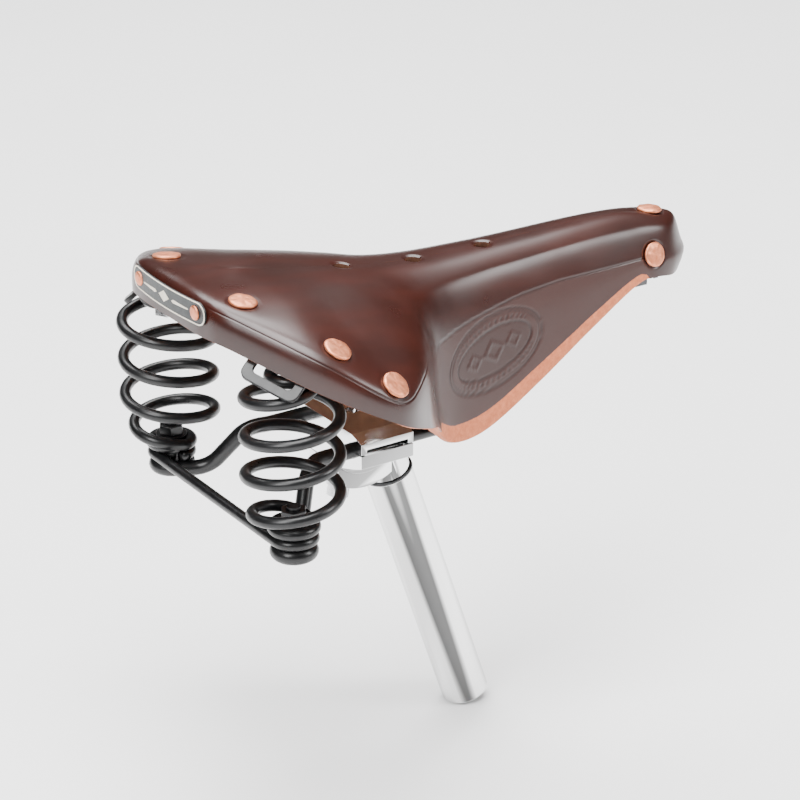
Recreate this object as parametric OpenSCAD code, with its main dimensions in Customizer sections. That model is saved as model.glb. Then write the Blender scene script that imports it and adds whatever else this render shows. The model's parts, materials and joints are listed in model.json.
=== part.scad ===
// Sprung leather bicycle saddle clamped on a seat post.
// X points forward, Y to the rider's left and Z up. The shapes are laid out from the rear end of the
// leather (x = 0) and the centre of the rail eyes (z = 0); at_origin() then moves the origin to the
// centre of the top of the seat post tube.

/* [Leather top] */
// Length of the leather top
saddle_length = 273; // [236:1:328]
// Width over the rear wings
saddle_width = 175; // [146:1:210]
// Thickness of the leather
leather_t = 5.5; // [4:0.1:6.5]
// Radius of the ventilation holes
vent_r = 3.6; // [2:0.1:5]
// Distance between the ventilation holes
vent_pitch = 37; // [25:1:42]

/* [Rivets] */
// Radius of the rear rivet heads
rear_head_r = 6.1; // [4:0.1:7]
// Radius of the nose rivet heads
nose_head_r = 5.7; // [4:0.1:6.5]
// Thickness of a rivet head
head_t = 1.2; // [0.8:0.1:2]
// Radius of the rivet shanks
shank_r = 2.4; // [1.8:0.1:3]
// Clearance round a rivet shank in the leather
shank_gap = 0.3; // [0.1:0.05:0.5]

/* [Springs] */
// Radius of the spring coils, to the middle of the wire
coil_r = 19.8; // [16:0.1:22]
// Radius of the small end coils, to the middle of the wire
end_coil_r = 8.9; // [8:0.1:10]
// Radius of the spring wire
spring_wire_r = 2.6; // [2:0.1:3]
// Distance of the springs inside the widest part of the leather
spring_side_inset = 35.2; // [30:0.1:40]
// Height of the middle of the top end coil
spring_top_z = 79.9; // [70:0.1:84]

/* [Rails] */
// Radius of the rails
rail_r = 3.5; // [3:0.1:4]
// Distance between the rails in the clamp
rail_spacing = 44.6; // [40:0.1:48]
// Height of the rails in the clamp
rail_z = 22; // [18:0.5:26]
// Radius of the rail eyes, to the middle of the wire
eye_r = 7; // [6:0.1:8]
// Radius of the cross wire
cross_wire_r = 2.5; // [2:0.1:3]

/* [Clamp] */
// Length of the clamp along the rails
clamp_l = 27; // [22:1:32]
// Width over the clamp
clamp_w = 60; // [56:1:64]
// Gap between the clamp halves
clamp_gap = 0.6; // [0.4:0.1:1]
// Radial clearance of the rails in the clamp
rail_gap = 0.05; // [0.02:0.01:0.1]
// Radius of the clamp bolt
clamp_bolt_r = 3; // [2.5:0.1:4]

/* [Seat post] */
// Radius of the seat post tube
post_r = 11.1; // [10:0.05:12.5]
// Wall of the seat post tube
post_wall = 1.5; // [1:0.1:2.5]
// Length of the seat post tube
post_l = 133; // [80:1:300]
// Angle of the seat post from the vertical
post_tilt = 19.1; // [17:0.1:21]

/* [Nose] */
// Distance from the nose tip back to the shackle pin
pin_setback = 37; // [34:0.5:40]
// Height of the shackle pin and of the tension bolt
pin_z = 62.5; // [61:0.5:64]
// Radius of the shackle pin
pin_r = 2.5; // [2:0.1:3]
// Radius of the tension bolt
tension_r = 3; // [2.5:0.1:3.5]
// Radial clearance of pins and bolts in their holes
run_gap = 0.05; // [0.02:0.01:0.1]

/* [Hidden] */
$fn = 48;

// Scale of the section table below, which is drawn for a 273 x 175 mm saddle
kx = saddle_length / 273;
ky = saddle_width / 175;
// Cross-sections of one half of the leather, from the rear centre round the wing to the nose tip:
// spine x, z | shoulder x, y, z | bottom edge x, y, z | shoulder radius, wall bulge, crown fall
SECTIONS = [
    [30, 108.8, 1.0, 0.0, 110.5, 0.0, 0.0, 93.5, 4, 0.5, 0.35],
    [31, 108.7, 1.5, 24.0, 110.0, 0.3, 26.0, 93.5, 4, 0.5, 0.35],
    [34, 108.2, 6.5, 43.0, 106.5, 5.5, 43.0, 91.5, 4, 0.5, 0.35],
    [40, 106.8, 29.0, 75.5, 93.5, 28.5, 76.0, 78.0, 4, 0.5, 0.40],
    [52, 104.4, 58.0, 87.5, 76.0, 57.0, 87.5, 63.0, 4, 0.5, 0.46],
    [70, 101.4, 79.0, 75.0, 77.0, 80.0, 75.0, 51.0, 6, 0.0, 0.48],
    [88, 98.4, 94.0, 56.0, 79.0, 97.0, 57.0, 40.5, 9, -1.0, 0.42],
    [104, 95.9, 106.0, 38.0, 81.0, 107.0, 46.0, 31.0, 12, -2.0, 0.35],
    [122, 94.4, 122.0, 29.0, 83.0, 121.0, 38.0, 20.0, 14, -1.0, 0.35],
    [145, 93.8, 145.0, 24.0, 84.0, 142.0, 33.0, 20.0, 14, 0.0, 0.35],
    [175, 93.8, 175.0, 21.0, 84.5, 172.0, 28.5, 33.0, 13, 0.0, 0.35],
    [207, 94.2, 207.0, 19.0, 85.0, 206.0, 24.0, 51.0, 12, 0.0, 0.35],
    [232, 93.8, 236.0, 17.2, 84.0, 236.0, 20.0, 65.0, 10, 0.0, 0.35],
    [244, 92.0, 259.0, 14.8, 82.5, 257.0, 15.5, 63.5, 9, 1.0, 0.35],
    [248, 91.2, 271.5, 0.0, 84.0, 269.5, 0.0, 63.0, 9, 3.5, 0.30]];
last_section = len(SECTIONS) - 1;
steps = 3;            // stations between two sections
rows_t = 14;          // cells from the spine to the bottom edge
plate_gap = 0.3;      // gap between leather and the steel plates under it
plate_t = 2.5;        // thickness of the cantle plate
plate_depth = leather_t + plate_gap;
nose_plate_t = 2;     // thickness of the nose plate

// Where the rivets sit: station round the leather, and fraction from the spine to the edge
REAR_RIVETS = [[2.13, 0.37], [3.33, 0.44], [4.03, 0.51]];
NOSE_RIVETS = [[14, 0.21], [12.31, 0.62], [-12.31, 0.62]];

spring_x = 16.2 * kx + 10.7;
spring_y = saddle_width / 2 - spring_side_inset;
rail_y = rail_spacing / 2;
cross_z = rail_r + cross_wire_r;
spring_base_z = cross_z + cross_wire_r + spring_wire_r;
bridge_z = spring_top_z + spring_wire_r;
bridge_t = 2.5;
clamp_x = spring_x + 61.6;
pin_x = saddle_length - pin_setback;

// Seat post axis: it leans forward going down, and passes setback ahead of the clamp centre
setback = 9.8;
post_drop = 30.7;
post_dir = [sin(post_tilt), 0, -cos(post_tilt)];
pivot = [clamp_x, 0, rail_z + 2];
post_top = pivot + [setback, 0, 0] + post_drop * post_dir;

// ---------- leather surface ----------
function mirror_row(r) = [r[0], r[1], r[2], -r[3], r[4], r[5], -r[6], r[7], r[8], r[9], r[10]];
function section_at(i) =
    i < 0 ? mirror_row(section_at(-i)) :
    i > last_section ? mirror_row(section_at(2 * last_section - i)) : SECTIONS[i];
function spline(a, b, c, d, f) =
    0.5 * (2 * b + (c - a) * f + (2 * a - 5 * b + 4 * c - d) * f * f + (3 * b - a - 3 * c + d) * f * f * f);
function station(u) =
    let (i = floor(u))
    spline(section_at(i - 1), section_at(i), section_at(i + 1), section_at(i + 2), u - i);
function unit(v) = v / norm(v);
function shoulder_pt(r) = [r[2] * kx, r[3] * ky, r[4]];
function edge_pt(r) = [r[5] * kx, r[6] * ky, r[7]];
// Horizontal outward direction of the skirt at station u
function outward(u) =
    let (a = edge_pt(station(u - 0.05)), b = edge_pt(station(u + 0.05)), t = b - a)
    unit([-t[1], t[0], 0]);
// Control points of one cross-section, moved inwards by off
function controls(u, off) =
    let (
        r = station(u),
        o = outward(u),
        c = [r[0] * kx, 0, r[1] - off],
        s = shoulder_pt(r),
        e = edge_pt(r) - off * o,
        d = s - [r[0] * kx, 0, r[1]],
        c1 = c + [0.35 * d[0], 0.35 * d[1], 0],
        c2 = c + [0.72 * d[0], 0.72 * d[1], r[10] * d[2]] - 0.25 * off * o,
        s2 = s - off * o - [0, 0, 0.85 * off],
        rr = max(r[8] - off, 2),
        crown_r = min(rr, 0.6 * norm(c2 - s2)),
        w = s2 + 0.6 * (e - s2) + r[9] * o)
    [c, c, c, c1, c2, s2 + crown_r * unit(c2 - s2), s2 + rr * unit(e - s2), w, e, e, e];
// Point of the surface at station u and fraction t from the spine to the edge, moved inwards by off
function surf(u, t, off) =
    let (p = controls(u, off), n = len(p) - 3, k = min(floor(t * n), n - 1), f = t * n - k, g = 1 - f)
    (g * g * g * p[k] + (3 * f * f * f - 6 * f * f + 4) * p[k + 1]
        + (3 * f * f - 3 * f * f * f + 3 * f + 1) * p[k + 2] + f * f * f * p[k + 3]) / 6;
function normal_at(u, t) =
    unit(cross(surf(u + 0.01, t, 0) - surf(u - 0.01, t, 0), surf(u, t + 0.01, 0) - surf(u, t - 0.01, 0)));

// Patch of plate between two depths below the leather's surface, from station u0 to u1
module plate_patch(u0, u1, nu, t0, t1, nt, off0, off1) {
    side = (nu + 1) * (nt + 1);
    pts = [for (off = [off0, off1]) for (i = [0:nu]) for (j = [0:nt])
        surf(u0 + (u1 - u0) * i / nu, t0 + (t1 - t0) * j / nt, off)];
    function id(s, i, j) = s * side + i * (nt + 1) + j;
    tops = [for (i = [0:nu - 1]) for (j = [0:nt - 1]) each [
        [id(0, i, j), id(0, i + 1, j), id(0, i + 1, j + 1)],
        [id(0, i, j), id(0, i + 1, j + 1), id(0, i, j + 1)],
        [id(1, i, j), id(1, i + 1, j + 1), id(1, i + 1, j)],
        [id(1, i, j), id(1, i, j + 1), id(1, i + 1, j + 1)]]];
    ends = [for (j = [0:nt - 1]) each [
        [id(0, 0, j), id(0, 0, j + 1), id(1, 0, j + 1)], [id(0, 0, j), id(1, 0, j + 1), id(1, 0, j)],
        [id(0, nu, j), id(1, nu, j + 1), id(0, nu, j + 1)],
        [id(0, nu, j), id(1, nu, j), id(1, nu, j + 1)]]];
    sides = [for (i = [0:nu - 1]) each [
        [id(0, i, 0), id(1, i + 1, 0), id(0, i + 1, 0)], [id(0, i, 0), id(1, i, 0), id(1, i + 1, 0)],
        [id(0, i, nt), id(0, i + 1, nt), id(1, i + 1, nt)],
        [id(0, i, nt), id(1, i + 1, nt), id(1, i, nt)]]];
    polyhedron(pts, [for (f = concat(tops, ends, sides)) [f[0], f[2], f[1]]]);
}

// Closed leather shell: the two halves share the points of the spine
module leather_shell() {
    half = last_section * steps;
    ring = 2 * half;
    side = half + 1 + ring * rows_t;
    function uu(k) = (k <= half ? k : k - ring) / steps;
    pts = [for (off = [0, leather_t]) each concat(
        [for (a = [0:half]) surf(a / steps, 0, off)],
        [for (k = [0:ring - 1]) for (j = [1:rows_t]) surf(uu(k), j / rows_t, off)])];
    function id(s, k, j) =
        let (m = k % ring)
        s * side + (j == 0 ? min(m, ring - m) : half + 1 + m * rows_t + j - 1);
    walls = [for (k = [0:ring - 1]) for (j = [0:rows_t - 1]) each [
        [id(0, k, j), id(0, k + 1, j + 1), id(0, k + 1, j)],
        [id(0, k, j), id(0, k, j + 1), id(0, k + 1, j + 1)],
        [id(1, k, j), id(1, k + 1, j), id(1, k + 1, j + 1)],
        [id(1, k, j), id(1, k + 1, j + 1), id(1, k, j + 1)]]];
    rim = [for (k = [0:ring - 1]) each [
        [id(0, k, rows_t), id(1, k + 1, rows_t), id(0, k + 1, rows_t)],
        [id(0, k, rows_t), id(1, k, rows_t), id(1, k + 1, rows_t)]]];
    polyhedron(pts, concat(walls, rim));
}

// ---------- small helpers ----------
// Turn children so that their +Z points along v
module along(v) {
    rotate([0, acos(v[2] / norm(v)), atan2(v[1], v[0])]) children();
}
module rod(a, b, r) {
    translate(a) along(b - a) cylinder(h = norm(b - a), r = r);
}
// Round bend: starts at s heading along d, and curves towards n with radius rb
module bend(s, d, n, rb, turn, r) {
    side = -n;
    up = cross(side, d);
    c = s + rb * n;
    multmatrix([[side[0], d[0], up[0], c[0]], [side[1], d[1], up[1], c[1]], [side[2], d[2], up[2], c[2]]])
        rotate_extrude(angle = turn, $fn = 64) translate([rb, 0]) circle(r);
}
function turn_at(p, i) = acos(unit(p[i] - p[i - 1]) * unit(p[i + 1] - p[i]));
// Points of the line through p with its corners rounded to radius rb
function rounded(p, rb, n) = [
    p[0],
    for (i = [1:len(p) - 2])
        let (
            d = unit(p[i] - p[i - 1]),
            e = unit(p[i + 1] - p[i]),
            side = unit(e - (e * d) * d),
            turn = turn_at(p, i),
            s = p[i] - rb * tan(turn / 2) * d)
        for (k = [0:n]) s + rb * (sin(turn * k / n) * d + (1 - cos(turn * k / n)) * side),
    p[len(p) - 1]];
// Round wire along the points of p
module sweep(p, r, sides) {
    n = len(p) - 1;
    pts = [for (i = [0:n]) let (
            t = unit(p[min(i + 1, n)] - p[max(i - 1, 0)]),
            b = unit(cross([0, 0, 1], t)),
            c = cross(t, b))
        for (k = [0:sides - 1]) p[i] + r * (cos(360 * k / sides) * b + sin(360 * k / sides) * c)];
    skin = [for (i = [0:n - 1]) for (k = [0:sides - 1])
        let (a = i * sides + k, b = i * sides + (k + 1) % sides)
        [a, a + sides, b + sides, b]];
    caps = [[for (k = [0:sides - 1]) k], [for (k = [sides - 1:-1:0]) n * sides + k]];
    polyhedron(pts, concat(skin, caps));
}
module hexagon(flats, h) {
    cylinder(h = h, r = flats / sqrt(3), $fn = 6);
}
module both_sides() {
    children();
    mirror([0, 1, 0]) children();
}
// Place on the leather's surface: children's +Z is the outward normal
module on_leather(p) {
    translate(surf(p[0], p[1], 0)) along(outside(p)) children();
}
function outside(p) =
    let (n = normal_at(p[0], p[1]), c = surf(p[0], p[1], 0) - [pin_x / 2, 0, 40])
    n * c > 0 ? n : -n;
module at_origin() {
    translate(-post_top) children();
}

// ---------- top ----------
first_vent_x = 84.7 * kx;
module leather_top() color("saddlebrown") {
    difference() {
        leather_shell();
        both_sides() for (p = REAR_RIVETS) on_leather(p) rivet_hole();
        for (p = NOSE_RIVETS) on_leather(p) rivet_hole();
        for (i = [0:2]) translate([first_vent_x + i * vent_pitch, 0, 80]) cylinder(h = 40, r = vent_r);
        badge_places() translate([0, 0, -6]) cylinder(h = 11, r = badge_shank_r + 0.1);
    }
}
module rivet_hole() translate([0, 0, -15]) cylinder(h = 30, r = shank_r + shank_gap);

rivet_grip = leather_t + plate_gap + plate_t + 1.5;
module rivet(r, grip) {
    cylinder(h = head_t, r = r);
    translate([0, 0, -grip]) cylinder(h = grip, r = shank_r);
    translate([0, 0, -grip - 1]) cylinder(h = 1.2, r = shank_r + 1.2);
}
module rear_rivets() color("peru") both_sides() for (p = REAR_RIVETS) on_leather(p)
    translate([0, 0, 0.2]) rivet(rear_head_r, rivet_grip);
module nose_rivets() color("peru") for (p = NOSE_RIVETS) on_leather(p)
    translate([0, 0, 0.3]) rivet(nose_head_r, leather_t + nose_plate_t + 2.5);
module cantle_plate() color("dimgray") difference() {
    plate_patch(-13 / steps, 13 / steps, 26, 4 / rows_t, 8 / rows_t, 4,
        plate_depth, plate_depth + plate_t);
    both_sides() for (p = REAR_RIVETS) on_leather(p) rivet_hole();
}

hanger_y = 33;
spring_bolt_r = 3;      // bolts that hold the ends of the springs
washer_r = end_coil_r - 2;
washer_t = 1.2;
module spring_bridge() color("dimgray") difference() {
    union() {
        translate([spring_x - 8, -spring_y, bridge_z]) cube([16, 2 * spring_y, bridge_t]);
        both_sides() translate([spring_x, spring_y, bridge_z]) cylinder(h = bridge_t, r = 8);
        both_sides() translate([spring_x - 6, hanger_y - 1.25, bridge_z]) cube([12, 2.5, 15.5]);
    }
    both_sides() translate([spring_x, spring_y, bridge_z - 1]) cylinder(h = 6, r = spring_bolt_r + run_gap);
}
// Bolt that hangs the spring's top coil: a cup washer under the coil, head above the bridge
module top_bolts() color("silver") both_sides() translate([spring_x, spring_y, 0]) {
    bridge_top = bridge_z + bridge_t;
    translate([0, 0, spring_top_z - 8]) cylinder(h = bridge_top - spring_top_z + 8, r = spring_bolt_r);
    translate([0, 0, bridge_top]) cylinder(h = 2.4, r = 5);
}
module top_nuts() color("silver") both_sides() translate([spring_x, spring_y, spring_top_z - spring_wire_r])
    difference() {
        union() {
            translate([0, 0, -washer_t]) cylinder(h = washer_t, r = washer_r);
            translate([0, 0, -washer_t - 4]) hexagon(10, 4);
        }
        translate([0, 0, -6]) cylinder(h = 7, r = spring_bolt_r + run_gap);
    }

// Blank name plate, bent to the rear of the leather
badge_bend_r = 190;
badge_half_angle = 9;
badge_h = 10.2;
badge_t = 1;
badge_z = 103.5;        // height of the middle of the plate
badge_rivet_y = 23.5;
badge_shank_r = 1.4;
module badge_places() for (s = [-1, 1]) translate([0, s * badge_rivet_y, badge_z]) rotate([0, 90, 0])
    children();
module badge_plate() color("dimgray") difference() {
    translate([badge_bend_r - 1.5, 0, badge_z - badge_h / 2]) rotate([0, 0, 180 - badge_half_angle])
        rotate_extrude(angle = 2 * badge_half_angle, $fn = 96)
            translate([badge_bend_r, 0]) square([badge_t, badge_h]);
    badge_places() translate([0, 0, -3]) cylinder(h = 8, r = badge_shank_r + 0.1);
}
module badge_rivets() color("peru") badge_places() {
    translate([0, 0, -2.65]) cylinder(h = 1.2, r = 3.2);
    translate([0, 0, -1.5]) cylinder(h = 6, r = badge_shank_r);
}

// Steel strip bent to a U under the rear edge, for a saddlebag strap; its legs reach the cantle plate
loop_rear = [4.2 * kx, 47.8 * ky, 83.2];
loop_front = [16.8 * kx, 70.2 * ky, 75];
loop_w = 4.2;
loop_t = 2.2;
loop_h = 23;
loop_bar = unit(loop_front - loop_rear);
loop_lean = [6 * kx, -3.5 * ky, 6];
loop_up = unit(loop_lean - (loop_lean * loop_bar) * loop_bar);
module bag_loop() color("black") {
    l = norm(loop_front - loop_rear);
    out = rounded([[0, loop_h], [0, 0], [l, 0], [l, loop_h]], 4, 5);
    in = rounded([[l - loop_w, loop_h], [l - loop_w, loop_w], [loop_w, loop_w], [loop_w, loop_h]], 2, 4);
    n = cross(loop_bar, loop_up);
    multmatrix([for (i = [0:2]) [loop_bar[i], loop_up[i], n[i], loop_rear[i]]])
        translate([0, 0, -loop_t / 2]) linear_extrude(loop_t) polygon(concat(out, in));
}
module bag_loop_left() bag_loop();
module bag_loop_right() mirror([0, 1, 0]) bag_loop();

// ---------- nose ----------
tongue_x = pin_x + 18;
tongue_t = 2.5;
tongue_foot = pin_z - 4.2;
tongue_top = 83.7;
neck_z = pin_z + 4.2;    // from here up the tongue is narrow
shackle_r = 4.2;
module nose_plate() color("dimgray") difference() {
    union() {
        plate_patch(35 / steps, 49 / steps, 14, 2 / rows_t, 10 / rows_t, 8,
            plate_depth, plate_depth + nose_plate_t);
        translate([tongue_x, -5, tongue_foot]) cube([tongue_t, 10, neck_z - tongue_foot]);
        translate([tongue_x, -3.2, tongue_foot]) cube([tongue_t, 6.4, tongue_top - tongue_foot]);
    }
    for (p = NOSE_RIVETS) on_leather(p) rivet_hole();
    translate([tongue_x - 1, 0, pin_z]) rotate([0, 90, 0]) cylinder(h = 5, r = tension_r + run_gap);
}
module shackle() color("dimgray") difference() {
    union() {
        both_sides() translate([pin_x, 7.3, pin_z]) rotate([-90, 0, 0]) cylinder(h = 2.2, r = shackle_r);
        both_sides() translate([pin_x, 7.3, pin_z - shackle_r]) cube([10.5, 2.2, 2 * shackle_r]);
        translate([pin_x + 8, -9.5, pin_z - shackle_r]) cube([2.5, 19, 2 * shackle_r]);
    }
    translate([pin_x, -12, pin_z]) rotate([-90, 0, 0]) cylinder(h = 24, r = pin_r + run_gap);
    translate([pin_x + 7, 0, pin_z]) rotate([0, 90, 0]) cylinder(h = 5, r = tension_r + run_gap);
}
module tension_bolt() color("silver") {
    bolt_start = pin_x + 6.5;
    head_start = tongue_x + tongue_t;
    translate([bolt_start, 0, pin_z]) rotate([0, 90, 0])
        cylinder(h = head_start - bolt_start, r = tension_r);
    translate([head_start, 0, pin_z]) rotate([0, 90, 0]) rotate([0, 0, 30]) hexagon(7, 5.5);
}
module tension_nut() color("silver") translate([pin_x + 10.8, 0, pin_z]) rotate([0, 90, 0]) difference() {
    hexagon(8, 5);
    translate([0, 0, -1]) cylinder(h = 7, r = tension_r + run_gap);
}
module shackle_pin() color("silver") translate([pin_x, -10.5, pin_z]) rotate([-90, 0, 0]) {
    cylinder(h = 21, r = pin_r);
    translate([0, 0, -1]) cylinder(h = 1.4, r = 3.6);
    translate([0, 0, 20.6]) cylinder(h = 1.4, r = 3.6);
}

// ---------- frame ----------
yoke_x = pin_x - 14;
module rail_yoke() color("dimgray") difference() {
    union() {
        translate([yoke_x - 4, -12.5, pin_z - 3.5]) cube([7, 25, 8.5]);
        translate([yoke_x, -6.9, pin_z - 3.5]) cube([14, 13.8, 7.7]);
        translate([pin_x, -6.9, pin_z]) rotate([-90, 0, 0]) cylinder(h = 13.8, r = shackle_r);
    }
    translate([pin_x, -8, pin_z]) rotate([-90, 0, 0]) cylinder(h = 16, r = pin_r + run_gap);
}

// A rail: eye under the spring, up to the clamp, straight through it, then up to the yoke
bend_1 = [spring_x + 11.1, spring_y - 13.5, 0];
bend_2 = [spring_x + 24, rail_y + 3, rail_z];
eye_ray = [bend_1[0] - spring_x, bend_1[1] - spring_y];
eye_angle = atan2(eye_ray[1], eye_ray[0]) - acos(eye_r / norm(eye_ray));
rail_foot = [spring_x + eye_r * cos(eye_angle), spring_y + eye_r * sin(eye_angle), 0];
straight_start = [spring_x + 31, rail_y, rail_z];
straight_end = [clamp_x + 34, rail_y, rail_z];
rail_front = [yoke_x - 3.9, 9, pin_z + 1.5];
rail_bend_r = 14;
eye_turn = 262;
tube_r = rail_r - 0.02;     // the swept ends stay just inside the exact straight bar
bar_start = straight_start + [5, 0, 0];
bar_end = straight_end - [4, 0, 0];
module rail() color("black") {
    eye = [for (k = [0:20]) let (a = eye_angle - eye_turn * (1 - k / 20))
        [spring_x + eye_r * cos(a), spring_y + eye_r * sin(a), 0]];
    climb = rounded([rail_foot, bend_1, bend_2, straight_start, bar_start + [1, 0, 0]], rail_bend_r, 5);
    sweep([each eye, for (i = [1:len(climb) - 1]) climb[i]], tube_r, 14);
    rod(bar_start, bar_end, rail_r);
    sweep(rounded([bar_end - [1, 0, 0], straight_end, rail_front], rail_bend_r, 5), tube_r, 14);
}
module rail_left() rail();
module rail_right() mirror([0, 1, 0]) rail();

cross_eye_r = end_coil_r - 0.5;
module cross_wire() color("black") translate([0, 0, cross_z]) {
    foot = [spring_x - cross_eye_r, spring_y, 0];
    rod([foot[0], -foot[1], 0], foot, cross_wire_r);
    bend(foot, [0, 1, 0], [1, 0, 0], cross_eye_r, eye_turn, cross_wire_r);
    bend([foot[0], -foot[1], 0], [0, -1, 0], [1, 0, 0], cross_eye_r, eye_turn, cross_wire_r);
}
module base_bolts() color("black") both_sides() translate([spring_x, spring_y, 0]) {
    translate([0, 0, -rail_r]) cylinder(h = 24, r = spring_bolt_r);
    translate([0, 0, 0.1 - rail_r]) cylinder(h = 2.2, r1 = 5, r2 = spring_bolt_r);
}
washer_z = spring_base_z + spring_wire_r;
module base_washers() color("black") both_sides()
    translate([spring_x, spring_y, washer_z]) difference() {
        cylinder(h = washer_t, r = washer_r);
        translate([0, 0, -1]) cylinder(h = 4, r = spring_bolt_r + run_gap);
    }
module base_nuts() color("black") both_sides()
    translate([spring_x, spring_y, washer_z + washer_t]) difference() {
        hexagon(10, 4.2);
        translate([0, 0, -1]) cylinder(h = 7, r = spring_bolt_r + run_gap);
    }

// ---------- springs ----------
spring_rise = spring_top_z - spring_base_z;
spring_turns = 4;      // rising turns between the two flat end coils
flat_turn = 0.92;        // length of each flat end coil, in turns
swell = 0.62;            // turns over which a coil widens from the end coil
ring_steps = 22;         // rings in one turn
wire_sides = 8;
function ease(x) = x <= 0 ? 0 : x >= 1 ? 1 : x * x * (3 - 2 * x);
// Middle of the wire after q turns; q runs from -flat_turn to spring_turns + flat_turn
function coil_pt(q, phase) =
    let (
        wide = ease(q / swell) * ease((spring_turns - q) / swell),
        r = end_coil_r + (coil_r - end_coil_r) * wide,
        z = spring_base_z + spring_rise * min(max(q / spring_turns, 0), 1),
        a = phase - 360 * q)
    [r * cos(a), r * sin(a), z];
// One left-handed spring; the other is its mirror image
module coil_spring(phase) {
    n = round((spring_turns + 2 * flat_turn) * ring_steps);
    dq = (spring_turns + 2 * flat_turn) / n;
    sweep([for (i = [0:n]) coil_pt(i * dq - flat_turn, phase)], spring_wire_r, wire_sides);
}
left_phase = 285;
right_phase = 0;
module spring_left() color("black")
    translate([spring_x, spring_y, 0]) coil_spring(left_phase);
module spring_right() color("black") mirror([0, 1, 0])
    translate([spring_x, spring_y, 0]) coil_spring(right_phase);

// ---------- clamp and seat post ----------
seat_r = 19.5;          // radius of the cradle's round underside, about the pivot
seat_gap = 0.3;         // gap between cradle and head over the whole tilt
head_wall = 7.2;        // thickness of the head under the cradle
bolt_lean = 12;         // lean of the clamp bolt, foot to the rear
slot_half_angle = 17;   // room for the bolt to swing in the head
slot_l = 45;
clamp_half = clamp_l / 2;
module rail_bores() both_sides() translate([clamp_x - 40, rail_y, rail_z]) rotate([0, 90, 0])
    cylinder(h = 80, r = rail_r + rail_gap);
module clamp_profile(pts) translate([clamp_x - clamp_half, 0, rail_z]) rotate([90, 0, 90])
    linear_extrude(clamp_l) polygon(pts);
module clamp_axis() translate(pivot) rotate([0, 180 + bolt_lean, 0]) children();
half_w = clamp_w / 2;
belly = 11.9;           // depth of the lower half in the middle
flank = 8.5;            // depth where it meets the sloping ends
module clamp_upper() color("silver") difference() {
    clamp_profile([[-half_w, clamp_gap / 2], [-half_w, 5.3], [-rail_y, 7.7], [rail_y, 7.7], [half_w, 5.3],
        [half_w, clamp_gap / 2]]);
    rail_bores();
    clamp_axis() translate([0, 0, -20]) cylinder(h = 50, r = clamp_bolt_r + run_gap);
    both_sides() translate([clamp_x - 10.6, half_w - 3.6, rail_z]) cube([21.4, 5, 2.4]);
}
module clamp_lower() color("silver") difference() {
    union() {
        clamp_profile([[-half_w, -clamp_gap / 2], [-half_w, -6.3], [-24, -flank], [-13, -belly],
            [13, -belly], [24, -flank], [half_w, -6.3], [half_w, -clamp_gap / 2]]);
        intersection() {
            translate(pivot + [0, 13, 0]) rotate([90, 0, 0]) cylinder(h = 26, r = seat_r, $fn = 96);
            translate([clamp_x - clamp_half, -13, rail_z - 30]) cube([clamp_l, 26, 20]);
        }
    }
    rail_bores();
    clamp_axis() translate([0, 0, -20]) cylinder(h = 50, r = clamp_bolt_r + run_gap);
}
head_foot = seat_r + seat_gap + head_wall;
module clamp_bolt() color("silver") clamp_axis() {
    translate([0, 0, -4.5]) cylinder(h = head_foot + 7, r = clamp_bolt_r);
    translate([0, 0, head_foot + 2.5]) difference() {
        cylinder(h = 5, r = 5);
        translate([0, 0, 2]) hexagon(5, 4);
    }
}
module clamp_washer() color("silver") difference() {
    clamp_axis() translate([0, 0, head_foot - 1]) cylinder(h = 3.5, r = 6);
    clamp_axis() cylinder(h = 50, r = clamp_bolt_r + run_gap);
    translate(pivot + [0, 10, 0]) rotate([90, 0, 0]) cylinder(h = 20, r = head_foot + seat_gap, $fn = 96);
}
module on_post() translate(post_top) along(post_dir) children();
// Flat shape in the XZ plane about the pivot, made w wide across Y
module across_pivot(w) {
    translate(pivot + [0, w / 2, 0]) rotate([90, 0, 0]) linear_extrude(w) children();
}
module post_head() color("silver") {
    top_x = setback + post_drop * sin(post_tilt);
    top_z = -post_drop * cos(post_tilt);
    difference() {
        union() {
            across_pivot(24) difference() {
                intersection() {
                    circle(head_foot, $fn = 96);
                    polygon([[-14, -40], [-14, -12], [14, -12], [14, -40]]);
                }
                circle(seat_r + seat_gap, $fn = 96);
            }
            intersection() {
                across_pivot(24) difference() {
                    polygon([[3, -20], [3, -26], [top_x - 10.5, top_z - 3.6], [top_x + 11, top_z + 3.8],
                        [22, -14], [16, -12]]);
                    circle(seat_r + seat_gap, $fn = 96);
                }
                on_post() translate([0, 0, -22]) cylinder(h = 22, r = post_r - 0.4);
            }
            on_post() translate([0, 0, -4]) cylinder(h = 29, r = post_r - post_wall - 0.05);
        }
        across_pivot(2 * clamp_bolt_r + 1.2) polygon([
            [0, 0],
            [-slot_l * sin(bolt_lean + slot_half_angle), -slot_l * cos(bolt_lean + slot_half_angle)],
            [-slot_l * sin(bolt_lean - slot_half_angle), -slot_l * cos(bolt_lean - slot_half_angle)]]);
    }
}
module post_tube() color("silver") on_post() difference() {
    cylinder(h = post_l, r = post_r);
    translate([0, 0, -1]) cylinder(h = post_l + 2, r = post_r - post_wall);
}
module post_ring() color("black") on_post() translate([0, 0, -1.2]) difference() {
    cylinder(h = 1.2, r = post_r + 0.5);
    translate([0, 0, -1]) cylinder(h = 4, r = post_r - 0.35);
}

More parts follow.
